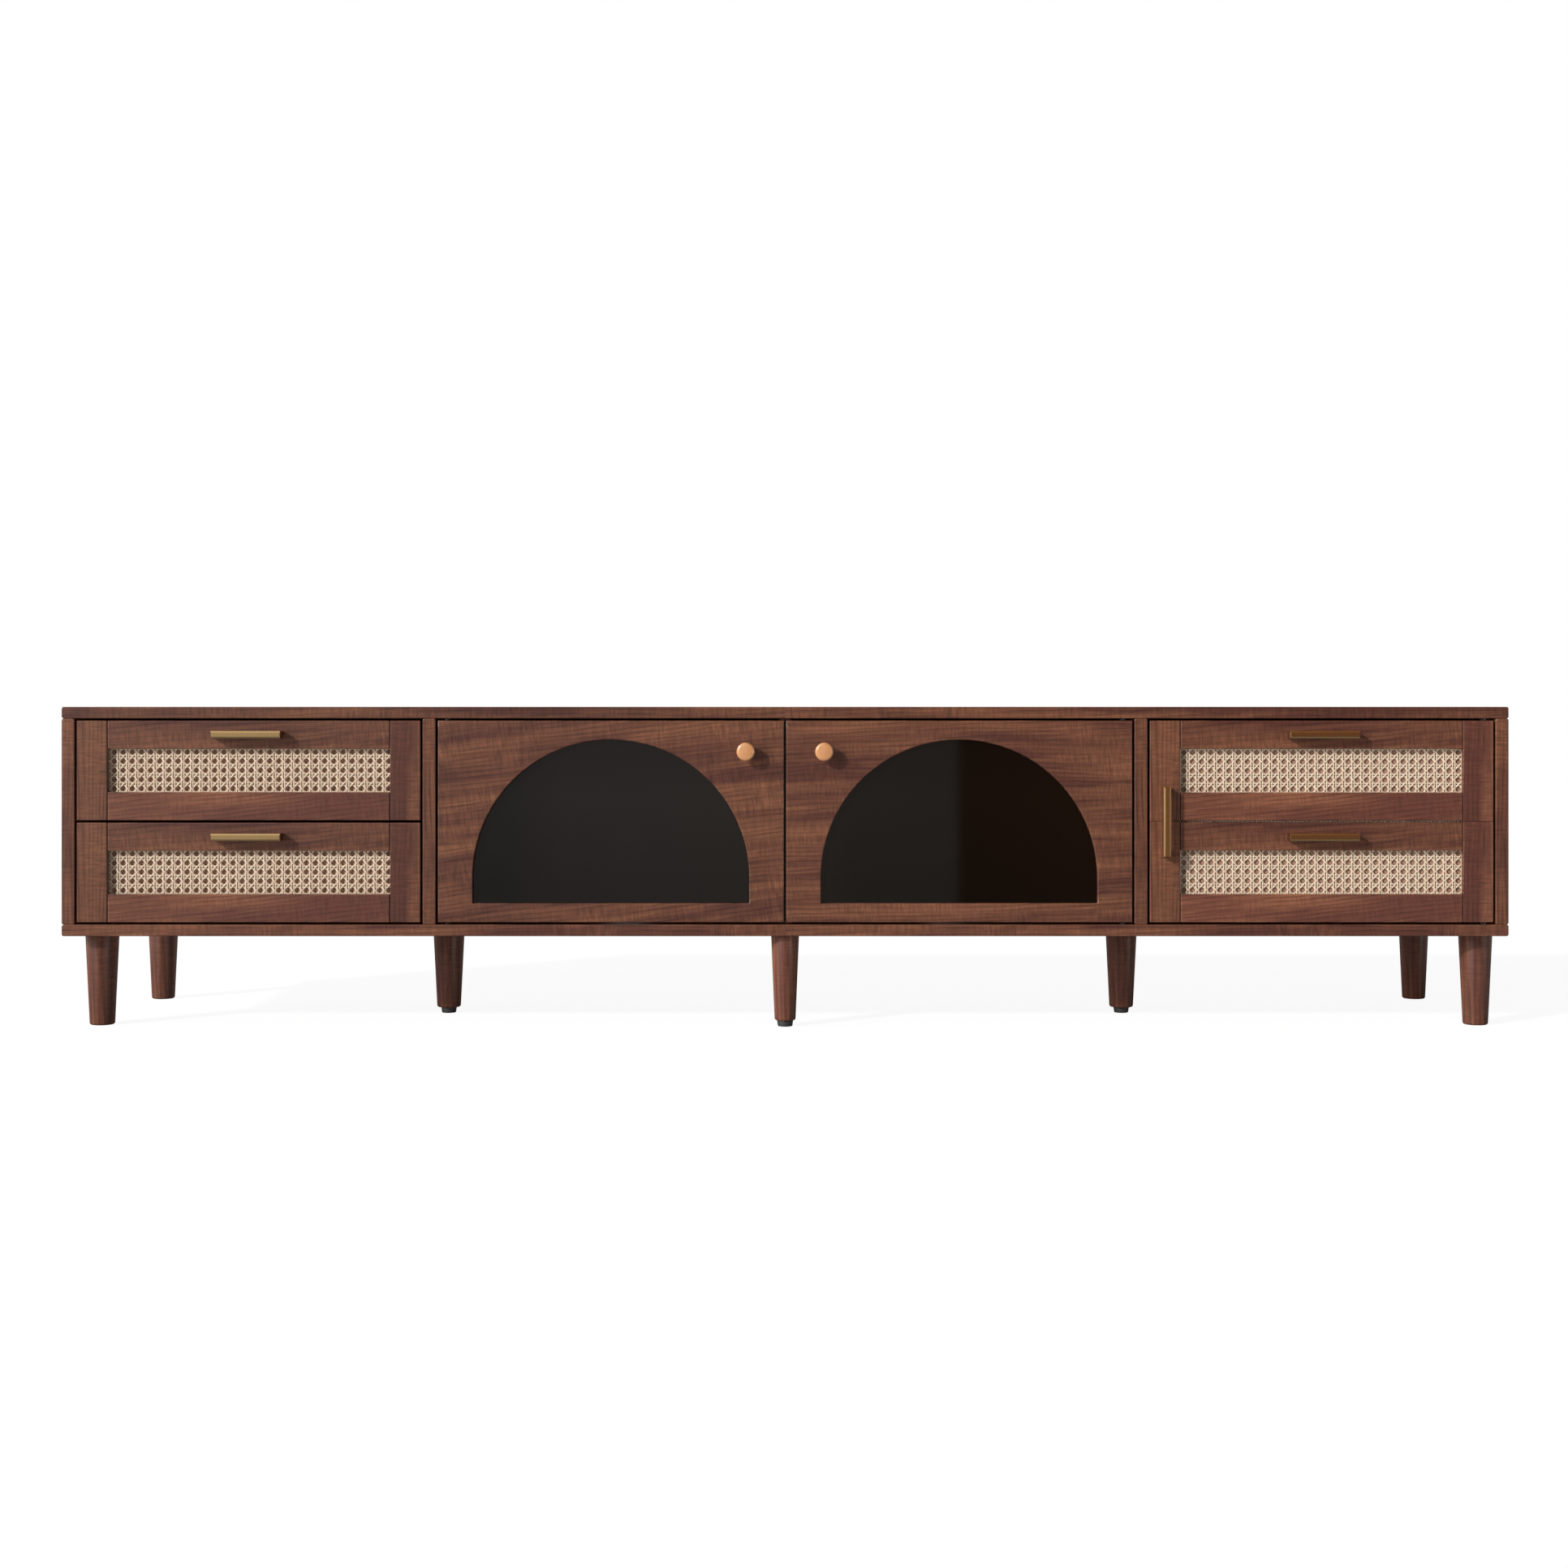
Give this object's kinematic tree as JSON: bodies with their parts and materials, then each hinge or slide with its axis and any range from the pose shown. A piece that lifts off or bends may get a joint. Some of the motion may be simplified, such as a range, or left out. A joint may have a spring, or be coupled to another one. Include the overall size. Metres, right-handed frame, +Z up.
{
  "type": "media console cabinet",
  "caption": "Low walnut media console with cane-fronted drawers, arched tinted-glass doors, a cane side door, brass handles and tapered turned legs.",
  "frame": {"origin": "on the floor, in the middle of the footprint of the whole object, handles included", "axes": "+X to the right along the length as seen from the front, +Y from the front to the back, +Z up"},
  "size_m": [2, 0.42, 0.445],
  "materials": {
    "walnut": "satin walnut veneer",
    "beech": "waxed beech",
    "cane": "woven natural cane",
    "brass": "satin brass",
    "knob": "apricot lacquer on turned wood",
    "glass": "dark tinted glass",
    "steel": "blackened",
    "black": "moulded black nylon"
  },
  "bodies": {
    "carcass": {"top_panel_left": "walnut", "top_panel_right": "walnut", "bottom_panel_left": "walnut", "bottom_panel_right": "walnut", "side_panel_left": "walnut", "side_panel_right": "walnut", "divider_left": "walnut", "divider_right": "walnut", "divider_centre": "walnut", "back_panel_left": "walnut", "back_panel_right": "walnut", "leg_front_left": "walnut", "leg_front_right": "walnut", "leg_back_left": "walnut", "leg_back_right": "walnut", "leg_middle_left": "walnut", "leg_middle_right": "walnut", "leg_front_centre": "walnut", "centre_leg_plate": "steel", "drawer_upper_runner_left": "beech", "drawer_upper_runner_right": "beech", "drawer_lower_runner_left": "beech", "drawer_lower_runner_right": "beech", "door_left_pivot_lower": "steel", "door_left_pivot_upper": "steel", "door_right_pivot_lower": "steel", "door_right_pivot_upper": "steel", "side_door_pivot_lower": "steel", "side_door_pivot_upper": "steel"},
    "upper_drawer": {"drawer_upper_front_frame": "walnut", "drawer_upper_front_cane": "cane", "drawer_upper_front_backing": "walnut", "drawer_upper_side_left": "walnut", "drawer_upper_side_right": "walnut", "drawer_upper_back": "walnut", "drawer_upper_bottom": "walnut", "drawer_upper_handle": "brass"},
    "lower_drawer": {"drawer_lower_front_frame": "walnut", "drawer_lower_front_cane": "cane", "drawer_lower_front_backing": "walnut", "drawer_lower_side_left": "walnut", "drawer_lower_side_right": "walnut", "drawer_lower_back": "walnut", "drawer_lower_bottom": "walnut", "drawer_lower_handle": "brass"},
    "left_door": {"door_left_panel": "walnut", "door_left_glass": "glass", "door_left_knob": "knob"},
    "right_door": {"door_right_panel": "walnut", "door_right_glass": "glass", "door_right_knob": "knob"},
    "side_door": {"side_door_frame": "walnut", "side_door_cane": "cane", "side_door_backing": "walnut", "side_door_pull": "brass", "side_door_handle_upper": "brass", "side_door_handle_lower": "brass"},
    "middle_left_foot": {"foot_middle_left": "black"},
    "middle_right_foot": {"foot_middle_right": "black"},
    "front_centre_foot": {"foot_front_centre": "black"}
  },
  "joints": [
    {"name": "upper_drawer_slide", "type": "slide", "parent": "carcass", "child": "upper_drawer", "axis": [0, -1, 0], "range_m": [0, 0.25]},
    {"name": "lower_drawer_slide", "type": "slide", "parent": "carcass", "child": "lower_drawer", "axis": [0, -1, 0], "range_m": [0, 0.25]},
    {"name": "left_door_hinge", "type": "hinge", "parent": "carcass", "child": "left_door", "pos_m": [-0.467, -0.1835, 0.2865], "axis": [0, 0, -1], "range_deg": [0, 95]},
    {"name": "right_door_hinge", "type": "hinge", "parent": "carcass", "child": "right_door", "pos_m": [0.467, -0.1835, 0.2865], "axis": [0, 0, 1], "range_deg": [0, 95]},
    {"name": "side_door_hinge", "type": "hinge", "parent": "carcass", "child": "side_door", "pos_m": [0.966, -0.1835, 0.2865], "axis": [0, 0, 1], "range_deg": [0, 95]},
    {"name": "middle_left_foot_thread", "type": "slide", "parent": "carcass", "child": "middle_left_foot", "axis": [0, 0, -1], "range_m": [0, 0.01]},
    {"name": "middle_right_foot_thread", "type": "slide", "parent": "carcass", "child": "middle_right_foot", "axis": [0, 0, -1], "range_m": [0, 0.01]},
    {"name": "front_centre_foot_thread", "type": "slide", "parent": "carcass", "child": "front_centre_foot", "axis": [0, 0, -1], "range_m": [0, 0.01]}
  ]
}
